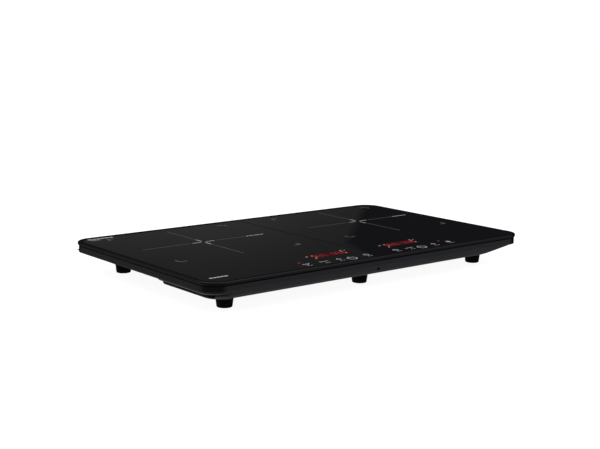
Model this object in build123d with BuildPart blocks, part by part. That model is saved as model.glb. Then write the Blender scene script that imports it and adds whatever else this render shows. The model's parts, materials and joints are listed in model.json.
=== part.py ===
"""Two-zone portable induction cooktop, modelled as an assembly of separate pieces.

Frame: millimetres, +X to the right, +Y to the back, +Z up.  The origin is on the table,
under the middle of the glass.  Every piece is written to its own file in parts/.
"""
from build123d import *
from math import sqrt, radians, cos, sin
import os

# ---- driving dimensions -------------------------------------------------------------------
GLASS_W = 600.0          # glass plate, left to right
GLASS_D = 355.0          # glass plate, front to back
GLASS_T = 4.0            # glass plate thickness
GLASS_R = 28.0           # plan radius of the glass corners
TOP_Z = 47.0             # height of the cooking surface above the table

FOOT_H = 12.0            # rubber foot height, also the height of the basin's underside
FOOT_TOP_R = 12.0        # foot radius where it meets the housing
FOOT_TIP_R = 10.5        # foot radius at the table
SKIRT_Z = 22.8           # underside of the shallow skirt along the front
FLANGE_Z = 32.0          # underside of the housing's rim
FRAME_Z = 34.0           # parting line between lower housing and upper frame
SEAT_Z = 41.0            # top of the upper frame, where the seal lies
FRAME_LIP = 2.5          # thickness of the frame's inward lip
WALL = 2.2               # moulded wall thickness
EDGE_GAP = 1.5           # how far the frame stands inside the glass edge

ZONE_X = {"left": -149.0, "right": 160.0}   # centres of the two cooking zones
ZONE_Y = 53.0
COIL_IN_R = 22.0         # induction winding, inner radius
COIL_TURNS = 17          # turns of stranded wire
COIL_PITCH = 3.8         # radial distance from one turn to the next
WIRE_W = 3.4             # width of the stranded wire
COIL_T = 3.5             # height of the winding
CARRIER_R = 92.0         # plastic disc that carries the winding
CARRIER_T = 3.0
CARRIER_Z = 33.5         # underside of the carrier
EAR_R = 97.0             # radius of the carrier's screw ears
FERRITE_T = 3.0

FAN_X = 181.0            # fan centre, left and right of the middle
FAN_Y = -81.0
FAN_W = 80.0             # square fan frame
FAN_H = 15.0
FAN_HOLE_R = 37.5        # air passage through the frame
HUB_R = 15.0             # rotor hub
BLADE_R = 36.3           # radius swept by the blade tips
BLADES = 7
SHAFT_R = 1.5
BEARING_GAP = 0.05       # radial clearance between shaft and bearing tube

BOARD_X = 70.0           # centre of each power board, left and right of the middle
BOARD_Y = -80.0
BOARD_W = 132.0
BOARD_D = 80.0
BOARD_Z = 19.0           # underside of the power boards
PCB_T = 1.6

CONTROL_Z = 35.5         # underside of the control board
CONTROL_FRONT = -163.0
CONTROL_BACK = -108.0
CONTROL_LEFT = -143.0
CONTROL_RIGHT = 170.0
KEYS_LEFT = (-126.0, -94.0, -67.0, -47.0, -15.0)
KEYS_RIGHT = (43.0, 70.0, 91.0, 121.0, 153.0)
KEY_Y = -155.0
DISPLAY_X = {"left": -56.5, "right": 83.5}
DISPLAY_Y = -123.0
DISPLAY_W = 64.0
DISPLAY_D = 17.0

SIDES = (("left", -1), ("right", 1))

# ---- dimensions worked out from the ones above ---------------------------------------------
GLASS_Z = TOP_Z - GLASS_T
FRAME_W = GLASS_W - 2 * EDGE_GAP
FRAME_D = GLASS_D - 2 * EDGE_GAP
FRAME_R = GLASS_R - EDGE_GAP
LIP_Z = SEAT_Z - FRAME_LIP
FLOOR_Z = FOOT_H + WALL
SKIRT_END_INSET = 7.5            # the skirt stands in from the rim at the two ends
SKIRT_SETBACK = 0.4              # and a hair behind it in front
SKIRT_X = FRAME_W / 2 - SKIRT_END_INSET
SKIRT_FRONT = -FRAME_D / 2 + SKIRT_SETBACK
SKIRT_BACK = -57.0               # behind this the ends are undercut, for the fingers
BASIN_X = 226.0                  # flat bottom of the basin
BASIN_FRONT = -124.0
BASIN_BACK = 150.0
BASIN_R = 11.4
FLARE_X = 290.0                  # the basin's outline where it meets the rim
FLARE_FRONT = -150.0
FLARE_BACK = 168.0

FOOT_PLACES = {
    "foot_front_left": (-241.0, -127.0),
    "foot_front_middle": (0.0, -126.0),
    "foot_front_right": (241.0, -127.0),
    "foot_rear_left": (-241.0, 127.0),
    "foot_rear_middle": (0.0, 126.0),
    "foot_rear_right": (241.0, 127.0),
}
FRONT_SCREWS = [(x, -169.2) for x in (-240.0, -85.0, 85.0, 190.0)]
REAR_SCREWS = [(x, 157.0) for x in (-220.0, -85.0, 85.0, 220.0)]
END_SCREWS = [(x, y) for x in (-279.0, 279.0) for y in (-100.0, 30.0)]
HOUSING_SCREWS = FRONT_SCREWS + REAR_SCREWS + END_SCREWS
SCREW_R = 1.5
SCREW_FIT = 0.02                 # radial room between a screw and its pilot hole
SCREW_SEAT_Z = 30.5
SMALL_SCREW_R = 1.2
SMALL_HEAD_R = 2.4
SMALL_HEAD_H = 1.6
CLEARANCE = 0.2                  # radial room round a screw that passes through
COIL_EARS = [(EAR_R * cos(radians(a)), EAR_R * sin(radians(a))) for a in (60, 120, 240, 300)]
COIL_POSTS = [(x + dx, ZONE_Y + dy) for x in ZONE_X.values() for dx, dy in COIL_EARS]
BOARD_HOLE_X = 60.0              # screw holes of a power board, from its middle
BOARD_HOLE_Y = 35.0
BOARD_POSTS = [
    (sign * BOARD_X + dx, BOARD_Y + dy)
    for sign in (-1, 1)
    for dx in (-BOARD_HOLE_X, BOARD_HOLE_X)
    for dy in (-BOARD_HOLE_Y, BOARD_HOLE_Y)
]
FAN_CORNER = FAN_W / 2 - 4.5
FAN_SCREWS = [
    (sign * FAN_X + dx, FAN_Y + dy)
    for sign in (-1, 1)
    for dx in (-FAN_CORNER, FAN_CORNER)
    for dy in (-FAN_CORNER, FAN_CORNER)
]
FILTER_X = 5.0
FILTER_Y = 68.0
FILTER_W = 92.0
FILTER_D = 92.0
FILTER_HOLE = 40.0               # its screw holes, from its middle both ways
FILTER_POSTS = [(FILTER_X + dx, FILTER_Y + dy) for dx in (-FILTER_HOLE, FILTER_HOLE)
                for dy in (-FILTER_HOLE, FILTER_HOLE)]
GLAND_Z = 23.5
GLAND_R = 6.5
GLAND_BORE_R = 4.0
GLAND_FACE_Y = 172.0

os.makedirs("parts", exist_ok=True)
written = []


def save(piece, name):
    """Label a finished piece and write it to its own file."""
    piece.part.label = name
    export_step(piece.part, f"parts/{name}.step")
    written.append(name)


def pegs(places, radius, low, high, mode=Mode.ADD):
    """Add or cut one upright cylinder at each place, in the part being built."""
    with BuildSketch(Plane.XY.offset(low)) as spots:
        with Locations(*places):
            Circle(radius)
    extrude(spots.sketch, amount=high - low, mode=mode)


def slab(x, y, width, depth, low, high, mode=Mode.ADD):
    """Add or cut one upright block centred at x, y, in the part being built."""
    with BuildSketch(Plane.XY.offset(low)) as footprint:
        with Locations((x, y)):
            Rectangle(width, depth)
    extrude(footprint.sketch, amount=high - low, mode=mode)


# ---- glass plate: one sheet of black glass-ceramic with a ground edge -----------------------
with BuildPart() as glass:
    with BuildSketch(Plane.XY.offset(GLASS_Z)):
        RectangleRounded(GLASS_W, GLASS_D, GLASS_R)
    extrude(amount=GLASS_T)
    chamfer(glass.faces().sort_by(Axis.Z)[-1].edges(), 0.9)
    chamfer(glass.faces().sort_by(Axis.Z)[0].edges(), 0.5)
save(glass, "glass_plate")

# ---- seal: silicone cord between the glass and the frame ------------------------------------
SEAL_OUT = 5.5
SEAL_IN = 10.5
with BuildPart() as seal:
    with BuildSketch(Plane.XY.offset(SEAT_Z)):
        RectangleRounded(GLASS_W - 2 * SEAL_OUT, GLASS_D - 2 * SEAL_OUT, GLASS_R - SEAL_OUT)
        RectangleRounded(GLASS_W - 2 * SEAL_IN, GLASS_D - 2 * SEAL_IN, GLASS_R - SEAL_IN,
                         mode=Mode.SUBTRACT)
    extrude(amount=GLASS_Z - SEAT_Z)
save(seal, "glass_seal")

# ---- upper frame: the rim under the glass, with an inward lip and screw posts ---------------
FRAME_WALL = 3.0
LIP_W = 10.0
POST_R = 4.0
with BuildPart() as frame:
    with BuildSketch(Plane.XY.offset(FRAME_Z)):
        RectangleRounded(FRAME_W, FRAME_D, FRAME_R)
        RectangleRounded(FRAME_W - 2 * FRAME_WALL, FRAME_D - 2 * FRAME_WALL,
                         FRAME_R - FRAME_WALL, mode=Mode.SUBTRACT)
    extrude(amount=SEAT_Z - FRAME_Z)
    with BuildSketch(Plane.XY.offset(LIP_Z)):
        RectangleRounded(FRAME_W - 2, FRAME_D - 2, FRAME_R - 1)
        RectangleRounded(FRAME_W - 2 * LIP_W, FRAME_D - 2 * LIP_W, FRAME_R - LIP_W,
                         mode=Mode.SUBTRACT)
    extrude(amount=FRAME_LIP)
    # tongues that carry the posts standing clear of the lip
    with BuildSketch(Plane.XY.offset(LIP_Z)):
        with Locations(*[(x, y + 6) for x, y in REAR_SCREWS]):
            Rectangle(2 * POST_R, 12)
        with Locations(*[(x + (6 if x > 0 else -6), y) for x, y in END_SCREWS]):
            Rectangle(12, 2 * POST_R)
    extrude(amount=FRAME_LIP)
    pegs(HOUSING_SCREWS, POST_R, FRAME_Z, SEAT_Z)
    pegs(HOUSING_SCREWS, SCREW_R + SCREW_FIT, FRAME_Z, LIP_Z + 1, mode=Mode.SUBTRACT)
save(frame, "upper_frame")

# ---- lower housing: shallow skirt in front, flared basin, foot bosses and air slots ----------
CORNER_LIFT = 0.136      # the skirt's right front corner is cut away at this slope
LIFT_START_X = 205.0     # where that cut starts along the front wall
SKIRT_EDGE_R = 5.0       # round lower edge of the skirt
SHOULDER_Z = 29.5        # underside of the shoulder that widens the skirt to the rim
SHOULDER_EDGE_R = 3.8    # round lower edge of that shoulder
SLOT_W = 4.0             # air slots in the basin
LOUVRE_W = 4.2           # louvres in the skirt's two ends
LOUVRE_LOW = SKIRT_Z + 2.4
LOUVRE_HIGH = SHOULDER_Z - 0.4
LOUVRE_CUT = 8.0         # how deep the louvre cuts reach, past the skirt's wall
LOUVRE_PITCH = 6.5
LOUVRES = 11
LOUVRE_RIGHT_Y = -97.0   # the right end has none in front of this, where its corner is cut away
SKIRT_WALL = 2.5
FLANK_WALL = 2.4
THICK_POST_R = 4.5       # posts under the coils and over the feet
THIN_POST_R = 3.5        # posts under the boards
LUG_DROP = 8.0           # the screw lugs start this far below the skirt, before they are trimmed
INTAKE_R = 34.0          # circle of air slots under each fan
INTAKE_PITCH = 7.5
OUTLET_START = 24.0      # first rear slot, from the middle
OUTLET_PITCH = 9.0
OUTLETS = 20             # rear slots on each side
OUTLET_Y = 162.0
HOLE_X = -10.0           # small oval hole in the front wall
HOLE_Z = 29.5
NOTCH_X = -262.0         # pry notch in the front wall's lower edge


def rounded_front(width, front, back, corner, low, edge):
    """A block up to the frame with rounded front corners and a rounded lower edge."""
    with BuildPart() as block:
        with BuildSketch(Plane.XY.offset(low)):
            with Locations((0, (front + back) / 2)):
                Rectangle(width, back - front)
        extrude(amount=FRAME_Z - low)
        fillet(block.edges().filter_by(Axis.Z).group_by(Axis.Y)[0], corner)
        bottom = block.faces().sort_by(Axis.Z)[0]
        fillet(bottom.edges().sort_by(Axis.Y)[:-1], edge)
    return block.part


def skirt_solid(inset, low, lift, shoulder_low):
    """The skirt and the wider shoulder over it, with the right front corner lifted."""
    front = SKIRT_FRONT + inset
    back = SKIRT_BACK - inset
    with BuildPart() as block:
        add(rounded_front(2 * (SKIRT_X - inset), front, back, FRAME_R - inset, low,
                          SKIRT_EDGE_R - inset))
        add(rounded_front(FRAME_W - 2 * inset, front, back, FRAME_R - inset, shoulder_low,
                          SHOULDER_EDGE_R - inset))
        lift_plane = Plane(
            origin=(LIFT_START_X, SKIRT_FRONT, SKIRT_Z + lift),
            x_dir=(1, 1, 0),
            z_dir=(-CORNER_LIFT, CORNER_LIFT, 1),
        )
        with BuildSketch(lift_plane):
            with Locations((0, -100)):
                Rectangle(400, 200)
        extrude(amount=-60, mode=Mode.SUBTRACT)
    return block.part


def basin_solid(inset, low):
    """The basin as a solid block with flat flanks that flare from its bottom to the rim."""
    rise = (FRAME_Z - low) / (FLANGE_Z - FOOT_H)
    side_run = (FLARE_X - BASIN_X) * rise
    front_run = (BASIN_FRONT - FLARE_FRONT) * rise
    back_run = (FLARE_BACK - BASIN_BACK) * rise
    with BuildPart() as block:
        with BuildSketch(Plane.XZ):
            with BuildLine():
                Polyline(
                    (-BASIN_X + inset, low),
                    (BASIN_X - inset, low),
                    (BASIN_X - inset + side_run, FRAME_Z),
                    (-BASIN_X + inset - side_run, FRAME_Z),
                    close=True,
                )
            make_face()
        extrude(amount=GLASS_D, both=True)
        with BuildSketch(Plane.YZ):
            with BuildLine():
                Polyline(
                    (BASIN_FRONT + inset, low),
                    (BASIN_BACK - inset, low),
                    (BASIN_BACK - inset + back_run, FRAME_Z),
                    (BASIN_FRONT + inset - front_run, FRAME_Z),
                    close=True,
                )
            make_face()
        extrude(amount=GLASS_W, both=True, mode=Mode.INTERSECT)
        slanted = [edge for edge in block.edges() if edge.bounding_box().size.Z > 5]
        fillet(slanted, BASIN_R - inset)
    return block.part


outer_skirt = skirt_solid(0, SKIRT_Z, 0, SHOULDER_Z)
inner_skirt = skirt_solid(SKIRT_WALL, SKIRT_Z + WALL, WALL, SHOULDER_Z + WALL)
outer_basin = basin_solid(0, FOOT_H)
inner_basin = basin_solid(FLANK_WALL, FLOOR_Z)

# solid lugs that the screws pass through, trimmed to the housing's outside
with BuildPart() as screw_lugs:
    pegs(HOUSING_SCREWS, POST_R + 1, SKIRT_Z - LUG_DROP, FRAME_Z)
with BuildPart() as envelope:
    add(outer_skirt)
    add(outer_basin)
    with BuildSketch(Plane.XY.offset(FLANGE_Z)):
        RectangleRounded(FRAME_W, FRAME_D, FRAME_R)
    extrude(amount=FRAME_Z - FLANGE_Z)
with BuildPart() as trimmed_lugs:
    add(screw_lugs.part)
    add(envelope.part, mode=Mode.INTERSECT)

GLAND_BLOCK_W = 22.0
with BuildPart() as housing:
    add(envelope.part)
    pegs(FOOT_PLACES.values(), FOOT_TOP_R + 0.5, FOOT_H, SKIRT_Z)
    slab(0, 160, GLAND_BLOCK_W, 2 * (GLAND_FACE_Y - 160), FOOT_H + 2, FRAME_Z)
    add(inner_skirt, mode=Mode.SUBTRACT)
    add(inner_basin, mode=Mode.SUBTRACT)
    slab(0, 156, GLAND_BLOCK_W - 5, 2 * (GLAND_FACE_Y - 2.5 - 156), FLOOR_Z + 2, FRAME_Z,
         mode=Mode.SUBTRACT)
    # screw lugs, then the posts that carry the coils, the boards and the feet
    add(trimmed_lugs.part)
    pegs(COIL_POSTS, THICK_POST_R, FLOOR_Z - 0.5, CARRIER_Z)
    pegs(BOARD_POSTS + FILTER_POSTS, THIN_POST_R, FLOOR_Z - 0.5, BOARD_Z)
    pegs(FOOT_PLACES.values(), THICK_POST_R, FLOOR_Z - 0.5, SKIRT_Z + 2)
    # screw holes
    pegs(HOUSING_SCREWS, SCREW_R + 0.3, SKIRT_Z - 10, FRAME_Z, mode=Mode.SUBTRACT)
    pegs(HOUSING_SCREWS, 3.2, SKIRT_Z - 10, SCREW_SEAT_Z, mode=Mode.SUBTRACT)
    pegs(COIL_POSTS, SMALL_SCREW_R + SCREW_FIT, CARRIER_Z - 12, CARRIER_Z, mode=Mode.SUBTRACT)
    pegs(BOARD_POSTS + FILTER_POSTS, SMALL_SCREW_R + SCREW_FIT, FLOOR_Z, BOARD_Z,
         mode=Mode.SUBTRACT)
    pegs(FAN_SCREWS, SMALL_SCREW_R + SCREW_FIT, FOOT_H + 0.6, FLOOR_Z, mode=Mode.SUBTRACT)
    pegs(FOOT_PLACES.values(), SCREW_R + SCREW_FIT, FOOT_H, SKIRT_Z, mode=Mode.SUBTRACT)
    # hole for the cord gland
    with BuildSketch(Plane.XZ.offset(-GLAND_FACE_Y)):
        with Locations((0, GLAND_Z)):
            Circle(GLAND_R + SCREW_FIT)
    extrude(amount=2.5, mode=Mode.SUBTRACT)
    # air intake under each fan: straight slots inside a circle
    for _, sign in SIDES:
        for k in range(-4, 5):
            length = 2 * sqrt(INTAKE_R ** 2 - (INTAKE_PITCH * k) ** 2)
            with BuildSketch(Plane.XY.offset(FOOT_H)):
                with Locations((sign * FAN_X, FAN_Y + INTAKE_PITCH * k)):
                    SlotOverall(length, SLOT_W)
            extrude(amount=WALL, mode=Mode.SUBTRACT)
    # air outlet along the rear flank
    for x in [sign * (OUTLET_START + OUTLET_PITCH * k) for _, sign in SIDES for k in range(OUTLETS)]:
        if abs(abs(x) - 85) > 8:
            slab(x, OUTLET_Y, SLOT_W, 20, FOOT_H + 6, FOOT_H + 16, mode=Mode.SUBTRACT)
    # louvres through the two ends of the skirt
    for y in [SKIRT_BACK - 8 - LOUVRE_PITCH * k for k in range(LOUVRES)]:
        slab(-SKIRT_X, y, LOUVRE_CUT, LOUVRE_W, LOUVRE_LOW, LOUVRE_HIGH, mode=Mode.SUBTRACT)
        if y > LOUVRE_RIGHT_Y:
            slab(SKIRT_X, y, LOUVRE_CUT, LOUVRE_W, LOUVRE_LOW, LOUVRE_HIGH, mode=Mode.SUBTRACT)
    # small oval hole in the front wall and a pry notch in its lower edge
    with BuildSketch(Plane.XZ.offset(-SKIRT_FRONT)):
        with Locations((HOLE_X, HOLE_Z)):
            SlotOverall(5.5, 3)
    extrude(amount=-4, mode=Mode.SUBTRACT)
    slab(NOTCH_X, SKIRT_FRONT, 9, 6, SKIRT_Z, SKIRT_Z + 1.6, mode=Mode.SUBTRACT)
save(housing, "lower_housing")

# ---- screws that hold housing and frame together, driven from below -------------------------
with BuildPart() as housing_screws:
    pegs(HOUSING_SCREWS, 2.8, SCREW_SEAT_Z - 2, SCREW_SEAT_Z)
    pegs(HOUSING_SCREWS, SCREW_R, SCREW_SEAT_Z, LIP_Z)
    pegs(HOUSING_SCREWS, 1.0, SCREW_SEAT_Z - 2, SCREW_SEAT_Z - 0.8, mode=Mode.SUBTRACT)
save(housing_screws, "housing_screws")

# ---- feet: tapered rubber pads with a recessed screw -----------------------------------------
FOOT_RECESS_R = 3.6
FOOT_SEAT_Z = 6.0
for foot_name, place in FOOT_PLACES.items():
    with BuildPart() as foot:
        with BuildSketch():
            with Locations(place):
                Circle(FOOT_TIP_R)
        with BuildSketch(Plane.XY.offset(FOOT_H)):
            with Locations(place):
                Circle(FOOT_TOP_R)
        loft()
        fillet(foot.faces().sort_by(Axis.Z)[0].edges(), 1.5)
        pegs([place], FOOT_RECESS_R, 0, FOOT_SEAT_Z, mode=Mode.SUBTRACT)
        pegs([place], SCREW_R + CLEARANCE, FOOT_SEAT_Z, FOOT_H, mode=Mode.SUBTRACT)
    save(foot, foot_name)

with BuildPart() as foot_screws:
    pegs(FOOT_PLACES.values(), 3.0, FOOT_SEAT_Z - 2, FOOT_SEAT_Z)
    pegs(FOOT_PLACES.values(), SCREW_R, FOOT_SEAT_Z, SKIRT_Z - 1)
save(foot_screws, "foot_screws")

# ---- induction coils: winding, carrier, ferrites, insulation mat and sensor ------------------
WINDING_Z = CARRIER_Z + CARRIER_T
MAT_Z = WINDING_Z + COIL_T
FERRITE_IN_R = 30.0
FERRITE_LENGTH = 52.0
FERRITE_W = 12.0


def make_winding(side, x):
    """Flat spiral of stranded wire; half circles about two centres half a pitch apart."""
    with BuildPart() as winding:
        with BuildSketch(Plane.XY.offset(WINDING_Z)):
            with Locations((x, ZONE_Y)):
                with BuildLine() as edge:
                    for k in range(2 * COIL_TURNS):
                        centre = (x + (k % 2) * COIL_PITCH / 2, ZONE_Y)
                        radius = COIL_IN_R + k * COIL_PITCH / 2
                        start = 180 * (k % 2)
                        CenterArc(centre, radius, start, 180)
                        CenterArc(centre, radius + WIRE_W, start, 180)
                    Line((x + COIL_IN_R, ZONE_Y), (x + COIL_IN_R + WIRE_W, ZONE_Y))
                    outer = COIL_IN_R + COIL_TURNS * COIL_PITCH
                    Line((x + outer, ZONE_Y), (x + outer + WIRE_W, ZONE_Y))
            make_face(edge.edges())
        extrude(amount=COIL_T)
    save(winding, f"coil_winding_{side}")


def make_carrier(side, x):
    """Moulded disc with an inner and outer ring, spokes and four screw ears."""
    with BuildPart() as carrier:
        with BuildSketch(Plane.XY.offset(CARRIER_Z)):
            with Locations((x, ZONE_Y)):
                Circle(CARRIER_R)
            with Locations(*[(x + dx, ZONE_Y + dy) for dx, dy in COIL_EARS]):
                Circle(5.5)
            with Locations((x, ZONE_Y)):
                Circle(10, mode=Mode.SUBTRACT)
                with PolarLocations(38, 8, start_angle=22.5):
                    Rectangle(16, 12, mode=Mode.SUBTRACT)
                with PolarLocations(66, 8, start_angle=22.5):
                    Rectangle(24, 24, mode=Mode.SUBTRACT)
        extrude(amount=CARRIER_T)
        pegs([(x + dx, ZONE_Y + dy) for dx, dy in COIL_EARS], SMALL_SCREW_R + CLEARANCE,
             CARRIER_Z, WINDING_Z, mode=Mode.SUBTRACT)
    save(carrier, f"coil_carrier_{side}")


def make_ferrites(side, x):
    """Eight flat ferrite bars glued under the carrier like the spokes of a wheel."""
    with BuildPart() as ferrites:
        with BuildSketch(Plane.XY.offset(CARRIER_Z - FERRITE_T)):
            with Locations((x, ZONE_Y)):
                with PolarLocations(FERRITE_IN_R + FERRITE_LENGTH / 2, 8):
                    Rectangle(FERRITE_LENGTH, FERRITE_W)
        extrude(amount=FERRITE_T)
    save(ferrites, f"ferrite_bars_{side}")


def make_mat(side, x):
    """Ceramic-fibre mat that fills the space between the winding and the glass."""
    with BuildPart() as mat:
        with BuildSketch(Plane.XY.offset(MAT_Z)):
            with Locations((x, ZONE_Y)):
                Circle(CARRIER_R - 1)
                Circle(7, mode=Mode.SUBTRACT)
        extrude(amount=GLASS_Z - MAT_Z)
    save(mat, f"insulation_mat_{side}")


def make_sensor(side, x):
    """Temperature sensor: a rubber stem through the coil's middle, pressed to the glass."""
    with BuildPart() as sensor:
        pegs([(x, ZONE_Y)], 6.0, CARRIER_Z - 2, GLASS_Z)
        pegs([(x, ZONE_Y)], 11.5, CARRIER_Z - 2, CARRIER_Z)
        chamfer(sensor.faces().sort_by(Axis.Z)[-1].edges(), 1.0)
    save(sensor, f"temperature_sensor_{side}")


for coil_side, coil_x in ZONE_X.items():
    make_winding(coil_side, coil_x)
    make_carrier(coil_side, coil_x)
    make_ferrites(coil_side, coil_x)
    make_mat(coil_side, coil_x)
    make_sensor(coil_side, coil_x)

with BuildPart() as coil_screws:
    pegs(COIL_POSTS, SMALL_HEAD_R, WINDING_Z, WINDING_Z + SMALL_HEAD_H)
    pegs(COIL_POSTS, SMALL_SCREW_R, CARRIER_Z - 9, WINDING_Z)
save(coil_screws, "coil_screws")

# ---- power boards: one for each zone, with the parts that drive the coil ---------------------
BOARD_TOP = BOARD_Z + PCB_T
TRANSISTOR_T = 5.0
SINK_BASE = 3.0
SINK_FIN_H = 11.0
SINK_X = -32.0           # places on a power board, from its middle
SINK_W = 60.0
SINK_D = 44.0
SINK_FINS = 12
TRANSISTOR_X = -45.0
RECTIFIER_X = -18.0
CAPACITOR_X = 21.0
CAPACITOR_H = 16.0
CHOKE_X = 50.0


def make_power_board(side, x):
    """Circuit board with connector, coil terminals and a small supply transformer."""
    with BuildPart() as board:
        slab(x, BOARD_Y, BOARD_W, BOARD_D, BOARD_Z, BOARD_TOP)
        holes = [(x + dx, BOARD_Y + dy) for dx in (-BOARD_HOLE_X, BOARD_HOLE_X)
                 for dy in (-BOARD_HOLE_Y, BOARD_HOLE_Y)]
        pegs(holes, SMALL_SCREW_R + CLEARANCE, BOARD_Z, BOARD_TOP, mode=Mode.SUBTRACT)
        slab(x, BOARD_Y - 33, 22, 6, BOARD_TOP, BOARD_TOP + 8)
        slab(x + 50, BOARD_Y - 22, 18, 14, BOARD_TOP, BOARD_TOP + 12)
        pegs([(x - 12, BOARD_Y + 33), (x + 12, BOARD_Y + 33)], 3.0, BOARD_TOP, BOARD_TOP + 7)
    save(board, f"power_board_{side}")


def make_heatsink(side, x):
    """Extruded aluminium sink: a base with fins that run along the fan's air stream."""
    low = BOARD_TOP + TRANSISTOR_T
    with BuildPart() as sink:
        slab(x + SINK_X, BOARD_Y - 1, SINK_W, SINK_D, low, low + SINK_BASE)
        fin_span = SINK_D - 1.6
        for k in range(SINK_FINS):
            fin_y = BOARD_Y - 1 - fin_span / 2 + k * fin_span / (SINK_FINS - 1)
            slab(x + SINK_X, fin_y, SINK_W, 1.4, low + SINK_BASE, low + SINK_BASE + SINK_FIN_H)
    save(sink, f"heatsink_{side}")


def make_transistor(side, x):
    """Power transistor in a flat three-legged case, clamped under the heatsink."""
    with BuildPart() as transistor:
        slab(x + TRANSISTOR_X, BOARD_Y, 16, 21, BOARD_TOP, BOARD_TOP + TRANSISTOR_T)
        for k in (-1, 0, 1):
            slab(x + TRANSISTOR_X + 5.4 * k, BOARD_Y - 13.5, 1.4, 6, BOARD_TOP, BOARD_TOP + 2.4)
    save(transistor, f"power_transistor_{side}")


def make_rectifier(side, x):
    """Bridge rectifier beside the transistor, with four legs."""
    with BuildPart() as rectifier:
        slab(x + RECTIFIER_X, BOARD_Y, 28, 19, BOARD_TOP, BOARD_TOP + TRANSISTOR_T)
        for k in (-1.5, -0.5, 0.5, 1.5):
            slab(x + RECTIFIER_X + 6.6 * k, BOARD_Y - 12, 1.4, 5, BOARD_TOP, BOARD_TOP + 2.4)
    save(rectifier, f"bridge_rectifier_{side}")


def make_capacitor(name, x, y):
    """Film capacitor in a moulded box with rounded upright edges."""
    with BuildPart() as capacitor:
        with BuildSketch(Plane.XY.offset(BOARD_TOP)):
            with Locations((x, y)):
                RectangleRounded(31, 15, 1.5)
        extrude(amount=CAPACITOR_H)
        chamfer(capacitor.faces().sort_by(Axis.Z)[-1].edges(), 0.6)
    save(capacitor, name)


def make_choke(name, x, y):
    """Choke: a ring core with its winding as twelve rounded bulges."""
    with BuildPart() as choke:
        with BuildSketch(Plane.XY.offset(BOARD_TOP)):
            with Locations((x, y)):
                Circle(9)
                with PolarLocations(8.6, 12):
                    Circle(2.2)
                Circle(4.2, mode=Mode.SUBTRACT)
        extrude(amount=10)
    save(choke, name)


for board_side, board_sign in SIDES:
    board_x = board_sign * BOARD_X
    make_power_board(board_side, board_x)
    make_heatsink(board_side, board_x)
    make_transistor(board_side, board_x)
    make_rectifier(board_side, board_x)
    make_capacitor(f"filter_capacitor_{board_side}", board_x + CAPACITOR_X, BOARD_Y - 12)
    make_capacitor(f"resonance_capacitor_{board_side}", board_x + CAPACITOR_X, BOARD_Y + 8)
    make_choke(f"choke_{board_side}", board_x + CHOKE_X, BOARD_Y + 8)

# ---- mains filter board and terminal block in the middle, at the back ------------------------
with BuildPart() as filter_board:
    slab(FILTER_X, FILTER_Y, FILTER_W, FILTER_D, BOARD_Z, BOARD_TOP)
    pegs(FILTER_POSTS, SMALL_SCREW_R + CLEARANCE, BOARD_Z, BOARD_TOP, mode=Mode.SUBTRACT)
    # fuse holder, interference capacitor and buzzer standing on the board
    slab(FILTER_X - 28, FILTER_Y + 8, 9, 30, BOARD_TOP, BOARD_TOP + 9)
    slab(FILTER_X + 26, FILTER_Y + 8, 12, 26, BOARD_TOP, BOARD_TOP + 11)
    pegs([(FILTER_X + 24, FILTER_Y - 26)], 6.0, BOARD_TOP, BOARD_TOP + 7.5)
    pegs([(FILTER_X + 24, FILTER_Y - 26)], 1.2, BOARD_TOP + 4, BOARD_TOP + 7.5,
         mode=Mode.SUBTRACT)
save(filter_board, "mains_filter_board")

with BuildPart() as filter_choke:
    with BuildSketch(Plane.XY.offset(BOARD_TOP)):
        with Locations((FILTER_X - 6, FILTER_Y - 14)):
            Circle(12)
            with PolarLocations(11.4, 16):
                Circle(2.2)
            Circle(6, mode=Mode.SUBTRACT)
    extrude(amount=12)
save(filter_choke, "filter_choke")

TERMINAL_Y = FILTER_Y + 37
with BuildPart() as terminal_block:
    slab(FILTER_X - 5, TERMINAL_Y, 34, 12, BOARD_TOP, BOARD_TOP + 12)
    for k in (-1, 0, 1):
        with BuildSketch(Plane.XZ.offset(-(TERMINAL_Y + 6))):
            with Locations((FILTER_X - 5 + 11 * k, BOARD_TOP + 5)):
                Circle(2.4)
        extrude(amount=8, mode=Mode.SUBTRACT)
        pegs([(FILTER_X - 5 + 11 * k, TERMINAL_Y)], 2.2, BOARD_TOP + 9, BOARD_TOP + 12,
             mode=Mode.SUBTRACT)
save(terminal_block, "terminal_block")

with BuildPart() as board_screws:
    pegs(BOARD_POSTS + FILTER_POSTS, SMALL_HEAD_R, BOARD_TOP, BOARD_TOP + SMALL_HEAD_H)
    pegs(BOARD_POSTS + FILTER_POSTS, SMALL_SCREW_R, BOARD_Z - 4, BOARD_TOP)
save(board_screws, "board_screws")

# ---- cord gland: a flanged bush in the rear wall, where the mains cord goes in ---------------
with BuildPart() as gland:
    with BuildSketch(Plane.XZ.offset(-GLAND_FACE_Y)):
        with Locations((0, GLAND_Z)):
            Circle(8.0)
    extrude(amount=-2.5)
    with BuildSketch(Plane.XZ.offset(-GLAND_FACE_Y)):
        with Locations((0, GLAND_Z)):
            Circle(GLAND_R)
    extrude(amount=2.5)
    with BuildSketch(Plane.XZ.offset(-(GLAND_FACE_Y - 2.5))):
        with Locations((0, GLAND_Z)):
            Circle(GLAND_R + 0.8)
    extrude(amount=3)
    with BuildSketch(Plane.XZ.offset(-(GLAND_FACE_Y + 2.5))):
        with Locations((0, GLAND_Z)):
            Circle(GLAND_BORE_R)
    extrude(amount=8, mode=Mode.SUBTRACT)
save(gland, "cord_gland")

# ---- cooling fans: square frame, motor core, rotor and shaft ---------------------------------
FAN_Z = FLOOR_Z
MOTOR_PLATE = 2.0
MOTOR_PLATE_R = 14.0
TUBE_R = 3.6
HUB_Z = FAN_Z + 1.6
HUB_TOP = FAN_Z + FAN_H - MOTOR_PLATE - 0.6
BLADE_PITCH = 38.0


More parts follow.
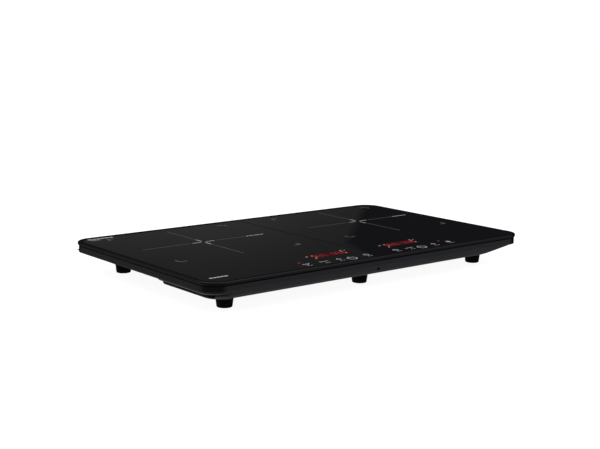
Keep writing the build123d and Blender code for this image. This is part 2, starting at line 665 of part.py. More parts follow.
def make_fan_frame(side, x):
    """Square fan frame with a round air passage, three struts and the bearing tube."""
    top = FAN_Z + FAN_H
    with BuildPart() as fan:
        with BuildSketch(Plane.XY.offset(FAN_Z)):
            with Locations((x, FAN_Y)):
                RectangleRounded(FAN_W, FAN_W, 5)
                Circle(FAN_HOLE_R, mode=Mode.SUBTRACT)
        extrude(amount=FAN_H)
        pegs([(x, FAN_Y)], MOTOR_PLATE_R, top - MOTOR_PLATE, top)
        with BuildSketch(Plane.XY.offset(top - MOTOR_PLATE)):
            with Locations((x, FAN_Y)):
                with PolarLocations((MOTOR_PLATE_R + FAN_HOLE_R) / 2, 3, start_angle=90):
                    Rectangle(FAN_HOLE_R - MOTOR_PLATE_R + 4, 4)
        extrude(amount=MOTOR_PLATE)
        pegs([(x, FAN_Y)], TUBE_R, HUB_Z + 2.4, top)
        pegs([(x, FAN_Y)], SHAFT_R + BEARING_GAP, HUB_Z + 2.4, top, mode=Mode.SUBTRACT)
        corners = [(x + dx, FAN_Y + dy) for dx in (-FAN_CORNER, FAN_CORNER)
                   for dy in (-FAN_CORNER, FAN_CORNER)]
        pegs(corners, SMALL_SCREW_R + 0.3, FAN_Z, top, mode=Mode.SUBTRACT)
    save(fan, f"fan_frame_{side}")


def make_fan_motor(side, x):
    """Four-pole motor core with its coils, pressed round the bearing tube."""
    with BuildPart() as motor:
        with BuildSketch(Plane.XY.offset(HUB_Z + 3.6)):
            with Locations((x, FAN_Y)):
                Circle(6.4)
                with PolarLocations(8.2, 4):
                    Rectangle(5, 5.6)
                with PolarLocations(10.6, 4):
                    Rectangle(1.6, 10)
                Circle(TUBE_R, mode=Mode.SUBTRACT)
        extrude(amount=5.5)
    save(motor, f"fan_motor_{side}")


def make_fan_rotor(side, x):
    """Fan rotor: a cup-shaped hub with pitched blades."""
    with BuildPart() as rotor:
        pegs([(x, FAN_Y)], HUB_R, HUB_Z, HUB_TOP)
        for k in range(BLADES):
            angle = radians(360 / BLADES * k)
            reach = (HUB_R + BLADE_R) / 2
            blade_plane = Plane(
                origin=(x + reach * cos(angle), FAN_Y + reach * sin(angle), (HUB_Z + HUB_TOP) / 2),
                x_dir=(cos(angle), sin(angle), 0),
                z_dir=(-sin(angle) * sin(radians(BLADE_PITCH)),
                       cos(angle) * sin(radians(BLADE_PITCH)), cos(radians(BLADE_PITCH))),
            )
            with BuildSketch(blade_plane):
                Rectangle(BLADE_R - HUB_R + 1, 15.5)
            extrude(amount=0.6, both=True)
        with BuildSketch(Plane.XY.offset(HUB_Z)) as sweep:
            with Locations((x, FAN_Y)):
                Circle(BLADE_R)
        extrude(sweep.sketch, amount=HUB_TOP - HUB_Z, mode=Mode.INTERSECT)
        pegs([(x, FAN_Y)], HUB_R - 1.4, HUB_Z + 1.5, HUB_TOP, mode=Mode.SUBTRACT)
        pegs([(x, FAN_Y)], SHAFT_R, HUB_Z, HUB_Z + 1.5, mode=Mode.SUBTRACT)
    save(rotor, f"fan_rotor_{side}")


def make_fan_shaft(side, x):
    """Steel shaft fixed in the hub and running in the bearing tube."""
    with BuildPart() as shaft:
        pegs([(x, FAN_Y)], SHAFT_R, HUB_Z, FAN_Z + FAN_H - 0.5)
        chamfer(shaft.faces().sort_by(Axis.Z)[-1].edges(), 0.3)
    save(shaft, f"fan_shaft_{side}")


for fan_side, fan_sign in SIDES:
    fan_x = fan_sign * FAN_X
    make_fan_frame(fan_side, fan_x)
    make_fan_motor(fan_side, fan_x)
    make_fan_rotor(fan_side, fan_x)
    make_fan_shaft(fan_side, fan_x)

with BuildPart() as fan_screws:
    pegs(FAN_SCREWS, SMALL_HEAD_R, FAN_Z + FAN_H, FAN_Z + FAN_H + SMALL_HEAD_H)
    pegs(FAN_SCREWS, SMALL_SCREW_R, FOOT_H + 1.0, FAN_Z + FAN_H)
save(fan_screws, "fan_screws")

# ---- touch controls under the front of the glass ---------------------------------------------
CONTROL_TOP = CONTROL_Z + PCB_T
CONTROL_X = (CONTROL_LEFT + CONTROL_RIGHT) / 2
CONTROL_W = CONTROL_RIGHT - CONTROL_LEFT
CONTROL_Y = (CONTROL_FRONT + CONTROL_BACK) / 2
CONTROL_D = CONTROL_BACK - CONTROL_FRONT
BRACKET_T = 1.5
BRACKET_Z = CONTROL_Z - BRACKET_T
RIBBON_W = 18.0
RIBBON_T = 1.0
RIBBON_Y = BOARD_Y - 33
LAMPS = ((-128.0, -143.0), (145.0, -143.0), (-101.0, -121.0), (-14.0, -121.0), (37.0, -121.0),
         (124.0, -121.0))

with BuildPart() as bracket:
    slab(CONTROL_X, CONTROL_Y, CONTROL_W, CONTROL_D, BRACKET_Z, CONTROL_Z)
    for x in (-120.0, 0.0, 130.0):
        slab(x, CONTROL_FRONT - 4, 14, 8, BRACKET_Z, LIP_Z)
    for _, sign in SIDES:
        slab(sign * BOARD_X, RIBBON_Y, RIBBON_W + 3, RIBBON_T + 3, BRACKET_Z, CONTROL_Z,
             mode=Mode.SUBTRACT)
save(bracket, "control_bracket")

with BuildPart() as control_board:
    slab(CONTROL_X, CONTROL_Y, CONTROL_W, CONTROL_D, CONTROL_Z, CONTROL_TOP)
    slab(12, -136, 14, 10, CONTROL_TOP, CONTROL_TOP + 1.4)
save(control_board, "control_board")

KEYS = [(x, KEY_Y) for x in KEYS_LEFT + KEYS_RIGHT]
with BuildPart() as touch_springs:
    pegs(KEYS, 3.8, CONTROL_TOP, GLASS_Z)
    pegs(KEYS, 3.2, CONTROL_TOP, GLASS_Z, mode=Mode.SUBTRACT)
save(touch_springs, "touch_springs")

for display_side, display_x in DISPLAY_X.items():
    with BuildPart() as display:
        slab(display_x, DISPLAY_Y, DISPLAY_W, DISPLAY_D, CONTROL_TOP, GLASS_Z - 0.6)
        chamfer(display.faces().sort_by(Axis.Z)[-1].edges(), 0.4)
    save(display, f"zone_display_{display_side}")

with BuildPart() as lamps:
    pegs(LAMPS, 1.6, CONTROL_TOP, GLASS_Z - 0.8)
save(lamps, "indicator_lamps")

for ribbon_side, ribbon_sign in SIDES:
    with BuildPart() as ribbon:
        slab(ribbon_sign * BOARD_X, RIBBON_Y, RIBBON_W, RIBBON_T, BOARD_TOP + 8, CONTROL_Z)
    save(ribbon, f"ribbon_cable_{ribbon_side}")

print(len(written), "nodes written")
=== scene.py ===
"""Looks of the two-zone induction cooktop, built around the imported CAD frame.  Metres, +Z up."""
import json
from math import cos, sin, pi, radians, hypot

import bpy
from mathutils import Matrix, Vector


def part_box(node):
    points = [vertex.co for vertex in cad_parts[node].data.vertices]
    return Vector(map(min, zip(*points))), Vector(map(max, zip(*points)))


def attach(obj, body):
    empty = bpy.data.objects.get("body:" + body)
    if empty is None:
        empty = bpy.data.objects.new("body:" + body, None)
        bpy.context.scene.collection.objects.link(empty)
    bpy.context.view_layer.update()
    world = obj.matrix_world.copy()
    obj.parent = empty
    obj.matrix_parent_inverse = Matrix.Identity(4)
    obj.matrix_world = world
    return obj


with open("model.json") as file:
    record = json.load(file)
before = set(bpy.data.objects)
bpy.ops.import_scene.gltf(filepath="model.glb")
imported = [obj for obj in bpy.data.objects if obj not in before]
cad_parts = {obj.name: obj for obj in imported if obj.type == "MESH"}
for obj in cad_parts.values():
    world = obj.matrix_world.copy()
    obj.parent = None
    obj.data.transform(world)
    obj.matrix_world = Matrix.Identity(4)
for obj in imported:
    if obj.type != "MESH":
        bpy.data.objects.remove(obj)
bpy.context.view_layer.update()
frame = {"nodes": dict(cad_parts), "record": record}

MM = 0.001
BODY = "base"
GLASS_LOW, GLASS_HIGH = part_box("glass_plate")
TOP = GLASS_HIGH.z                      # height of the cooking surface
PRINT_T = 0.05 * MM                     # thickness of the fired-on print
PRINT_SINK = 0.03 * MM                  # how far a print reaches into the glass
GROUND_EDGE = 0.8 * MM                  # the glass edge is ground from here down
END_X = 0.284                           # the housing's louvred ends start here, left and right
SHOULDER_Z = 0.0294                     # underside of the shoulder over those ends


def middle_of(node):
    """Middle of a CAD node's box."""
    low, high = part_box(node)
    return (low + high) / 2


ZONES = {side: middle_of(f"insulation_mat_{side}").xy for side in ("left", "right")}
DISPLAYS = {side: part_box(f"zone_display_{side}") for side in ("left", "right")}


# ---- materials --------------------------------------------------------------------------------
def new_material(name):
    """An empty node material with its output, shader and object coordinates."""
    material = bpy.data.materials.new(name)
    material.use_nodes = True
    tree = material.node_tree
    tree.nodes.clear()
    output = tree.nodes.new("ShaderNodeOutputMaterial")
    shader = tree.nodes.new("ShaderNodeBsdfPrincipled")
    coords = tree.nodes.new("ShaderNodeTexCoord")
    tree.links.new(shader.outputs["BSDF"], output.inputs["Surface"])
    return material, tree, shader, coords.outputs["Object"]


def noise(tree, coords, scale, detail=3.0, roughness=0.55, stretch=None):
    """Noise texture factor, at a scale in features per metre."""
    if stretch:
        mapping = tree.nodes.new("ShaderNodeMapping")
        mapping.inputs["Scale"].default_value = stretch
        tree.links.new(coords, mapping.inputs["Vector"])
        coords = mapping.outputs["Vector"]
    texture = tree.nodes.new("ShaderNodeTexNoise")
    texture.inputs["Scale"].default_value = scale
    texture.inputs["Detail"].default_value = detail
    texture.inputs["Roughness"].default_value = roughness
    tree.links.new(coords, texture.inputs["Vector"])
    return texture.outputs["Fac"]


def ramp(tree, factor, low, high, start=0.3, end=0.7):
    """Colour ramp between two colours."""
    node = tree.nodes.new("ShaderNodeValToRGB")
    node.color_ramp.elements[0].position = start
    node.color_ramp.elements[1].position = end
    node.color_ramp.elements[0].color = (*low, 1)
    node.color_ramp.elements[1].color = (*high, 1)
    tree.links.new(factor, node.inputs["Fac"])
    return node.outputs["Color"]


def spread(tree, factor, low, high):
    """Map a 0..1 factor to low..high."""
    node = tree.nodes.new("ShaderNodeMapRange")
    node.inputs["To Min"].default_value = low
    node.inputs["To Max"].default_value = high
    tree.links.new(factor, node.inputs["Value"])
    return node.outputs["Result"]


def math_node(tree, operation, a, b=None, c=None):
    """A math node with numbers or sockets as its inputs."""
    node = tree.nodes.new("ShaderNodeMath")
    node.operation = operation
    for socket, value in zip(node.inputs, (a, b, c)):
        if value is None:
            continue
        if isinstance(value, (int, float)):
            socket.default_value = value
        else:
            tree.links.new(value, socket)
    return node.outputs[0]


def bump(tree, shader, height, strength, distance):
    """Bump from a height factor."""
    node = tree.nodes.new("ShaderNodeBump")
    node.inputs["Strength"].default_value = strength
    node.inputs["Distance"].default_value = distance
    tree.links.new(height, node.inputs["Height"])
    tree.links.new(node.outputs["Normal"], shader.inputs["Normal"])


def shades(colour, change):
    """A darker and a lighter version of a colour."""
    return (tuple(c * (1 - change) for c in colour), tuple(min(1, c * (1 + change)) for c in colour))


def plain(name, colour, rough, change=0.12, rough_change=0.08, grain=900, bump_size=0.03,
          metallic=0.0, specular=0.5, patch=25, stretch=None):
    """Moulded, cast or rolled finish: mottled colour, uneven gloss and a fine grain."""
    material, tree, shader, coords = new_material(name)
    shader.inputs["Metallic"].default_value = metallic
    shader.inputs["Specular IOR Level"].default_value = specular
    low, high = shades(colour, change)
    tree.links.new(ramp(tree, noise(tree, coords, patch), low, high), shader.inputs["Base Color"])
    fine = noise(tree, coords, grain, 2.0, stretch=stretch)
    gloss = spread(tree, fine, max(0.02, rough - rough_change), min(1, rough + rough_change))
    tree.links.new(gloss, shader.inputs["Roughness"])
    bump(tree, shader, fine, 0.35, bump_size * MM)
    return material


def glass_ceramic():
    """Opaque black glass-ceramic: a polished face with a faint haze of wiping marks."""
    material, tree, shader, coords = new_material("glass_ceramic")
    haze = noise(tree, coords, 7, 2.0)
    tree.links.new(ramp(tree, haze, (0.0022, 0.0022, 0.0024), (0.0032, 0.0032, 0.0034)),
                   shader.inputs["Base Color"])
    wiping = noise(tree, coords, 18, 4.0, 0.6, stretch=(1.0, 3.5, 1.0))
    # the ground edge below the polished chamfer is satin and dark
    place = tree.nodes.new("ShaderNodeSeparateXYZ")
    tree.links.new(coords, place.inputs["Vector"])
    edge = math_node(tree, "LESS_THAN", place.outputs["Z"], TOP - GROUND_EDGE)
    polished = spread(tree, wiping, 0.004, 0.014)
    tree.links.new(math_node(tree, "MULTIPLY_ADD", edge, 0.3, polished), shader.inputs["Roughness"])
    tree.links.new(spread(tree, edge, 0.5, 0.28), shader.inputs["Specular IOR Level"])
    shader.inputs["IOR"].default_value = 1.52
    wave = noise(tree, coords, 5, 0.0)
    bump(tree, shader, wave, 0.01, 0.2 * MM)
    return material


def print_ink(name, colour, strength=0.0, specular=0.4):
    """Fired-on ceramic ink: fine speckle and a satin face."""
    material, tree, shader, coords = new_material(name)
    shader.inputs["Specular IOR Level"].default_value = specular
    speckle = noise(tree, coords, 2600, 2.0)
    low, high = shades(colour, 0.18)
    ink = ramp(tree, speckle, low, high, 0.35, 0.65)
    tree.links.new(ink, shader.inputs["Base Color"])
    tree.links.new(spread(tree, speckle, 0.42, 0.62), shader.inputs["Roughness"])
    bump(tree, shader, speckle, 0.2, 0.01 * MM)
    if strength:
        tree.links.new(ink, shader.inputs["Emission Color"])
        shader.inputs["Emission Strength"].default_value = strength
    return material


def moulded_texture(name, colour, rough, spark=1500, specular=0.5):
    """Spark-eroded moulding texture: small rounded pits over an even black."""
    material, tree, shader, coords = new_material(name)
    shader.inputs["Specular IOR Level"].default_value = specular
    low, high = shades(colour, 0.15)
    tree.links.new(ramp(tree, noise(tree, coords, 30), low, high), shader.inputs["Base Color"])
    cells = tree.nodes.new("ShaderNodeTexVoronoi")
    cells.inputs["Scale"].default_value = spark
    tree.links.new(coords, cells.inputs["Vector"])
    pits = cells.outputs["Distance"]
    tree.links.new(spread(tree, pits, rough - 0.05, rough + 0.1), shader.inputs["Roughness"])
    bump(tree, shader, pits, 0.3, 0.03 * MM)
    return material


def housing_plastic():
    """Moulded housing; its louvred ends below the shoulder carry painted shade: a near-black colour and
    weak reflection.
    """
    material = moulded_texture("housing_plastic", (0.013, 0.013, 0.0138), 0.26, 1500)
    tree = material.node_tree
    shader = tree.nodes["Principled BSDF"]
    coords = tree.nodes["Texture Coordinate"].outputs["Object"]
    place = tree.nodes.new("ShaderNodeSeparateXYZ")
    tree.links.new(coords, place.inputs["Vector"])
    across = math_node(tree, "ABSOLUTE", place.outputs["X"])
    outer = math_node(tree, "GREATER_THAN", across, END_X)
    lower = math_node(tree, "LESS_THAN", place.outputs["Z"], SHOULDER_Z)
    # painted shade: below the shoulder the louvred ends are made near black and reflect little, standing
    # in for the shade they lie in
    louvre_painted_shade = math_node(tree, "MULTIPLY", outer, lower)
    tree.links.new(spread(tree, louvre_painted_shade, 0.5, 0.04), shader.inputs["Specular IOR Level"])
    painted_shade_mix = tree.nodes.new("ShaderNodeMix")
    painted_shade_mix.data_type = "RGBA"
    tree.links.new(louvre_painted_shade, painted_shade_mix.inputs["Factor"])
    tree.links.new(shader.inputs["Base Color"].links[0].from_socket, painted_shade_mix.inputs["A"])
    # near-black colour of the painted shade on the louvred ends
    painted_shade_mix.inputs["B"].default_value = (0.002, 0.002, 0.002, 1)
    tree.links.new(painted_shade_mix.outputs["Result"], shader.inputs["Base Color"])
    return material


def circuit_board():
    """Green solder mask with a faint pattern of copper tracks under it."""
    material, tree, shader, coords = new_material("circuit_board")
    tracks = tree.nodes.new("ShaderNodeTexBrick")
    tracks.inputs["Scale"].default_value = 70
    tracks.inputs["Mortar Size"].default_value = 0.03
    tracks.inputs["Color1"].default_value = (0.012, 0.085, 0.03, 1)
    tracks.inputs["Color2"].default_value = (0.014, 0.1, 0.036, 1)
    tracks.inputs["Mortar"].default_value = (0.05, 0.2, 0.07, 1)
    tree.links.new(coords, tracks.inputs["Vector"])
    tree.links.new(tracks.outputs["Color"], shader.inputs["Base Color"])
    weave = noise(tree, coords, 700, 2.0)
    tree.links.new(spread(tree, weave, 0.25, 0.4), shader.inputs["Roughness"])
    bump(tree, shader, tracks.outputs["Fac"], 0.3, 0.05 * MM)
    return material


def wound_wire(name, colour, turns_per_metre):
    """Enamelled stranded wire: fine twisted strands across the winding."""
    material, tree, shader, coords = new_material(name)
    strands = tree.nodes.new("ShaderNodeTexWave")
    strands.wave_type = "BANDS"
    strands.bands_direction = "DIAGONAL"
    strands.inputs["Scale"].default_value = turns_per_metre
    strands.inputs["Distortion"].default_value = 2.0
    tree.links.new(coords, strands.inputs["Vector"])
    low, high = shades(colour, 0.35)
    tree.links.new(ramp(tree, strands.outputs["Fac"], low, high), shader.inputs["Base Color"])
    tree.links.new(spread(tree, strands.outputs["Fac"], 0.25, 0.4), shader.inputs["Roughness"])
    shader.inputs["Metallic"].default_value = 0.6
    bump(tree, shader, strands.outputs["Fac"], 0.6, 0.15 * MM)
    return material


def brushed(name, colour, rough=0.3):
    """Metal with fine lines drawn along one way."""
    return plain(name, colour, rough, 0.08, 0.1, grain=400, bump_size=0.02, metallic=1.0,
                 stretch=(1.0, 14.0, 14.0))


MATERIALS = {
    "glass_ceramic": glass_ceramic(),
    "silicone_seal": plain("silicone_seal", (0.006, 0.006, 0.006), 0.7),
    "frame_plastic": moulded_texture("frame_plastic", (0.0045, 0.0045, 0.005), 0.22, 2200),
    "housing_plastic": housing_plastic(),
    "screw_steel": brushed("screw_steel", (0.55, 0.55, 0.56)),
    "foot_rubber": plain("foot_rubber", (0.0025, 0.0025, 0.0025), 0.6, 0.25, 0.08, 1400, 0.04,
                         specular=0.06),
    "terminal_plastic": plain("terminal_plastic", (0.62, 0.6, 0.55), 0.45),
    "gland_plastic": plain("gland_plastic", (0.012, 0.012, 0.012), 0.4),
    "circuit_board": circuit_board(),
    "choke_copper": wound_wire("choke_copper", (0.4, 0.13, 0.04), 900),
    "bracket_plastic": plain("bracket_plastic", (0.45, 0.45, 0.43), 0.5),
    "touch_spring_brass": brushed("touch_spring_brass", (0.75, 0.6, 0.32)),
    "indicator_lens": plain("indicator_lens", (0.6, 0.02, 0.015), 0.15),
    "winding_copper": wound_wire("winding_copper", (0.42, 0.14, 0.05), 1300),
    "carrier_plastic": moulded_texture("carrier_plastic", (0.05, 0.05, 0.055), 0.5),
    "ferrite": plain("ferrite", (0.03, 0.03, 0.035), 0.55, 0.3, 0.1, 1800, 0.05),
    "insulation_fibre": plain("insulation_fibre", (0.72, 0.7, 0.66), 0.9, 0.1, 0.05, 500, 0.3,
                              stretch=(1.0, 4.0, 1.0)),
    "sensor_silicone": plain("sensor_silicone", (0.6, 0.6, 0.57), 0.55),
    "heatsink_aluminium": brushed("heatsink_aluminium", (0.72, 0.72, 0.73), 0.35),
    "semiconductor_case": plain("semiconductor_case", (0.015, 0.015, 0.016), 0.5, 0.3),
    "capacitor_case": plain("capacitor_case", (0.55, 0.42, 0.05), 0.35),
    "fan_plastic": moulded_texture("fan_plastic", (0.015, 0.015, 0.017), 0.4),
    "motor_steel": brushed("motor_steel", (0.4, 0.3, 0.25), 0.4),
    "shaft_steel": brushed("shaft_steel", (0.62, 0.62, 0.63), 0.2),
    "display_red": plain("display_red", (0.12, 0.01, 0.01), 0.2),
    "ribbon_insulation": plain("ribbon_insulation", (0.4, 0.4, 0.42), 0.5, stretch=(30.0, 1.0, 1.0)),
}
for entry in frame["record"]["subparts"]:
    node = frame["nodes"][entry["node"]]
    node.data.materials.clear()
    node.data.materials.append(MATERIALS[entry["material_slot"]])


# ---- flat printed pieces ------------------------------------------------------------------------
def bar(x0, y0, x1, y1, width, round_steps=4):
    """Outline of a straight stroke with round ends."""
    length = hypot(x1 - x0, y1 - y0)
    ux, uy = (x1 - x0) / length, (y1 - y0) / length
    start = pi / 2
    outline = []
    for (x, y), turn in (((x0, y0), start), ((x1, y1), start + pi)):
        for i in range(round_steps + 1):
            angle = turn + pi * i / round_steps
            dx, dy = cos(angle) * width / 2, sin(angle) * width / 2
            outline.append((x + ux * dx - uy * dy, y + uy * dx + ux * dy))
    return outline


def arc(x, y, radius, width, start, end, steps=20):
    """Outline of a curved stroke, angles in degrees."""
    angles = [radians(start + (end - start) * i / steps) for i in range(steps + 1)]
    outer = [(x + cos(a) * (radius + width / 2), y + sin(a) * (radius + width / 2)) for a in angles]
    inner = [(x + cos(a) * (radius - width / 2), y + sin(a) * (radius - width / 2)) for a in angles]
    return outer + inner[::-1]


def ring(x, y, radius, width):
    """A whole circle as two half circles."""
    return [arc(x, y, radius, width, 0, 180), arc(x, y, radius, width, 180, 360)]


def disc(x, y, radius, steps=20):
    """Outline of a filled dot."""
    return [(x + cos(2 * pi * i / steps) * radius, y + sin(2 * pi * i / steps) * radius)
            for i in range(steps)]


def box_outline(x, y, width, depth, radius, steps=5):
    """Outline of a rounded rectangle."""
    points = []
    for quarter, (sx, sy) in enumerate(((1, 1), (-1, 1), (-1, -1), (1, -1))):
        cx, cy = x + sx * (width / 2 - radius), y + sy * (depth / 2 - radius)
        for i in range(steps + 1):
            a = pi / 2 * (quarter + i / steps)
            points.append((cx + cos(a) * radius, cy + sin(a) * radius))
    return points


def print_piece(name, verts, faces, material):
    """A printed mesh with its material, parented to the cooktop's body so it rides on the cooktop."""
    mesh = bpy.data.meshes.new(name)
    mesh.from_pydata(verts, [], faces)
    mesh.validate()
    mesh.materials.append(material)
    piece = bpy.data.objects.new(name, mesh)
    bpy.context.scene.collection.objects.link(piece)
    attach(piece, BODY)


def printed(name, outlines, material, thick=PRINT_T):
    """Thin closed prisms from outlines in millimetres, lying on the glass."""
    low = TOP - PRINT_SINK
    high = low + thick + PRINT_SINK
    verts, faces = [], []
    for outline in outlines:
        base = len(verts)
        count = len(outline)
        verts += [(x * MM, y * MM, low) for x, y in outline]
        verts += [(x * MM, y * MM, high) for x, y in outline]
        faces.append([base + i for i in range(count)][::-1])
        faces.append([base + count + i for i in range(count)])
        for i in range(count):
            j = (i + 1) % count
            faces.append([base + i, base + j, base + count + j, base + count + i])
    print_piece(name, verts, faces, material)


INK_BLACK = print_ink("ink_black", (0.0062, 0.0062, 0.0072), specular=0.0)
INK_FAINT = print_ink("ink_faint", (0.060, 0.060, 0.060))
INK_GREY = print_ink("ink_grey", (0.13, 0.13, 0.13))
INK_WHITE = print_ink("ink_white", (0.40, 0.40, 0.41))
LIT_RED = print_ink("lit_red", (0.17, 0.012, 0.018), 0.9, specular=0.1)
DIM_RED = print_ink("dim_red", (0.016, 0.0010, 0.0014), 1.0, specular=0.05)
LIT_AMBER = print_ink("lit_amber", (0.42, 0.20, 0.11), 0.9, specular=0.1)

ARM = (24.0, 104.0)       # cooking zone: where the cross arms start and end
ARM_Y = (22.0, 98.0)
TICK = (5.5, 19.0)        # short bright strokes round the middle
LABEL = (80.0, 112.0)     # row of dashes at the end of the right arm
CORNER_X = 106.0
CORNER_Y = 97.0
CORNER_LEG = 11.0


def zone_marks(side):
    """Cross, middle strokes and corner brackets of one cooking zone."""
    x, y = ZONES[side] / MM
    arms, ticks, corners = [], [], []
    for ux, uy in ((1, 0), (-1, 0), (0, 1), (0, -1)):
        near, far = ARM if ux else ARM_Y
        if ux > 0:
            far = LABEL[0] - 3
        arms.append(bar(x + ux * near, y + uy * near, x + ux * far, y + uy * far, 2.2))
        start, end = TICK
        ticks.append(bar(x + ux * start, y + uy * start, x + ux * end, y + uy * end, 1.9))
    for k in range(6):
        start = LABEL[0] + 5.4 * k
        ticks.append(bar(x + start, y, x + start + (3.4 if k % 2 else 2.4), y, 2.6))
    for sx in (-1, 1):
        for sy in (-1, 1):
            cx, cy = x + sx * CORNER_X, y + sy * CORNER_Y
            corners.append(bar(cx, cy, cx - sx * CORNER_LEG, cy, 1.8))
            corners.append(bar(cx, cy, cx, cy - sy * CORNER_LEG, 1.8))
    printed(f"zone_cross_{side}", arms, INK_FAINT)
    printed(f"zone_centre_{side}", ticks, INK_WHITE)
    printed(f"zone_corners_{side}", corners, INK_GREY)


for zone_side in ZONES:
    zone_marks(zone_side)

EDGE = (GLASS_LOW / MM, GLASS_HIGH / MM)
LINE_GAP = 10.0           # the line between the zones ends this far from the edge
printed("centre_line", [bar(0, EDGE[0].y + LINE_GAP, 0, EDGE[1].y - LINE_GAP, 2.0)], INK_BLACK)


def printed_border(name, outer_gap, inner_gap, back_gap, corner, material):
    """A frame printed along the glass edge; gaps in millimetres, with the widest at the back."""
    (x0, y0), (x1, y1) = EDGE[0].xy, EDGE[1].xy
    loops = []
    for gap, back in ((outer_gap, outer_gap), (inner_gap, back_gap)):
        loops.append(box_outline((x0 + x1) / 2, (y0 + gap + y1 - back) / 2, x1 - x0 - 2 * gap,
                                 y1 - y0 - gap - back, corner - gap, 10))
    low, high = TOP - PRINT_SINK, TOP + PRINT_T
    count = len(loops[0])
    verts = [(x * MM, y * MM, z) for loop in loops for z in (low, high) for x, y in loop]
    faces = []
    for i in range(count):
        j = (i + 1) % count
        rings = [(i + k * count, j + k * count) for k in range(4)]
        for a, b in ((0, 1), (1, 3), (3, 2), (2, 0)):
            faces.append([rings[a][0], rings[a][1], rings[b][1], rings[b][0]])
    print_piece(name, verts, faces, material)


GLASS_CORNER = 28.0
BORDER_OUT = 1.0          # printed border: gaps from the glass edge
BORDER_IN = 6.5
BORDER_IN_BACK = 11.0
printed_border("glass_border", BORDER_OUT, BORDER_IN, BORDER_IN_BACK, GLASS_CORNER, INK_BLACK)


# ---- control symbols ------------------------------------------------------------------------------
def symbol_power(x, y):
    y -= 6
    return [arc(x, y, 7.0, 1.5, 120, 420, 28), bar(x, y + 2.5, x, y + 9, 1.5)]


def symbol_clock(x, y):
    return ring(x, y, 4.2, 1.0) + [bar(x, y, x, y + 2.8, 0.9), bar(x, y, x + 2.2, y - 1.0, 0.9)]


def symbol_lock(x, y):
    return [box_outline(x, y - 1.2, 7.0, 5.4, 1.0), arc(x, y + 1.6, 2.3, 1.0, 0, 180, 14)]


def symbol_minus(x, y):
    brackets = [arc(x, y, 6.4, 0.8, a, a + 50, 10) for a in (155, -25)]
    return [bar(x - 4.6, y, x + 4.6, y, 1.4)] + brackets


def symbol_plus(x, y):
    return [bar(x - 4.2, y, x + 4.2, y, 1.4), bar(x, y + 0.8, x, y + 4.2, 1.4),
            bar(x, y - 4.2, x, y - 0.8, 1.4)]


def symbol_pan(x, y):
    return [arc(x, y + 1, 4.4, 1.2, 180, 360, 16), bar(x - 5.2, y + 1.4, x + 5.2, y + 1.4, 1.1),
            bar(x + 5.6, y + 2, x + 8.4, y + 3.2, 1.0)]


def caption(x, y):
    """Two small dashes under a symbol."""
    y -= 9.0
    return [bar(x - 4.0, y, x - 0.8, y, 1.0), bar(x + 1.2, y, x + 4.0, y, 1.0)]


KEY_Y = middle_of("touch_springs").y / MM
PANELS = {
    "left": ((-126.0, symbol_pan), (-94.0, symbol_minus), (-67.0, symbol_plus), (-47.0, symbol_power),
             (-15.0, symbol_clock)),
    "right": ((43.0, symbol_clock), (70.0, symbol_minus), (91.0, symbol_power), (121.0, symbol_plus),
              (153.0, symbol_lock)),
}
for panel_side, keys in PANELS.items():
    strokes = []
    for key_x, symbol in keys:
        strokes += symbol(key_x, KEY_Y)
        if symbol is not symbol_power:
            strokes += caption(key_x, KEY_Y)
    printed(f"key_symbols_{panel_side}", strokes, INK_WHITE)


# ---- lit displays -----------------------------------------------------------------------------------
def digit(x, y, width, height, stroke):
    """All seven segments of one digit."""
    w, h, gap = width / 2, height / 2, stroke * 0.75
    flat = [bar(x - w + gap, y + k * h, x + w - gap, y + k * h, stroke, 2) for k in (-1, 0, 1)]
    tall = [bar(x + s * w, y + k * h + gap, x + s * w, y + (k + 1) * h - gap, stroke, 2)
            for s in (-1, 1) for k in (-1, 0)]
    return flat + tall


WINDOW_GROW = Vector((2.0, 4.0))        # how much the clear window exceeds the display behind it
for display_side, (low, high) in DISPLAYS.items():
    cx, cy = (low + high).xy / 2 / MM
    wide, deep = (high - low).xy / MM + WINDOW_GROW
    window = box_outline(cx, cy, wide, deep, 1.5)
    printed(f"display_window_{display_side}", [window], DIM_RED)
    segments = []
    for k in (-3, -2, -1, 1, 2, 3):
        segments += digit(cx + k * wide * 0.135, cy, 5.2, deep * 0.62, 1.0)
    segments += [disc(cx, cy + 3, 0.8, 10), disc(cx, cy - 3, 0.8, 10)]
    printed(f"display_digits_{display_side}", segments, LIT_RED, thick=2 * PRINT_T)
    end_lamps = [disc(cx + s * (wide / 2 - 5), cy + dy, 1.5, 12) for s in (-1, 1) for dy in (-5, 5)]
    printed(f"display_lamps_{display_side}", end_lamps, LIT_AMBER, thick=2 * PRINT_T)
    dots = [disc(cx - wide / 2 - 5, cy + 4, 1.6), disc(cx - wide / 2 - 1, cy - 12, 1.4),
            bar(cx + wide / 2 - 3, cy + 12, cx + wide / 2, cy + 12, 1.6),
            bar(cx + wide / 2 + 4, cy + 10, cx + wide / 2 + 6, cy + 10, 1.4)]
    printed(f"display_marks_{display_side}", dots, INK_WHITE)
INDICATORS = ((-128, -143, 2.2), (145, -143, 2.0))
printed("indicator_dots", [disc(*dot) for dot in INDICATORS], LIT_RED)

# plain bars in two corners of the print
BARS_X = -279.0


def bar_row(y, count, pitch, length, width):
    """A row of short thick bars that starts at the left edge of the print."""
    starts = [BARS_X + pitch * k for k in range(count)]
    return [bar(start, y, start + length, y, width) for start in starts]


back_bars = bar_row(162, 6, 7.0, 4.5, 4.5) + [bar(BARS_X, 154, BARS_X + 15, 154, 1.8)]
printed("corner_bars_back", back_bars, INK_WHITE)
printed("corner_bars_front", bar_row(-149, 5, 5.6, 3.0, 4.2), INK_WHITE)

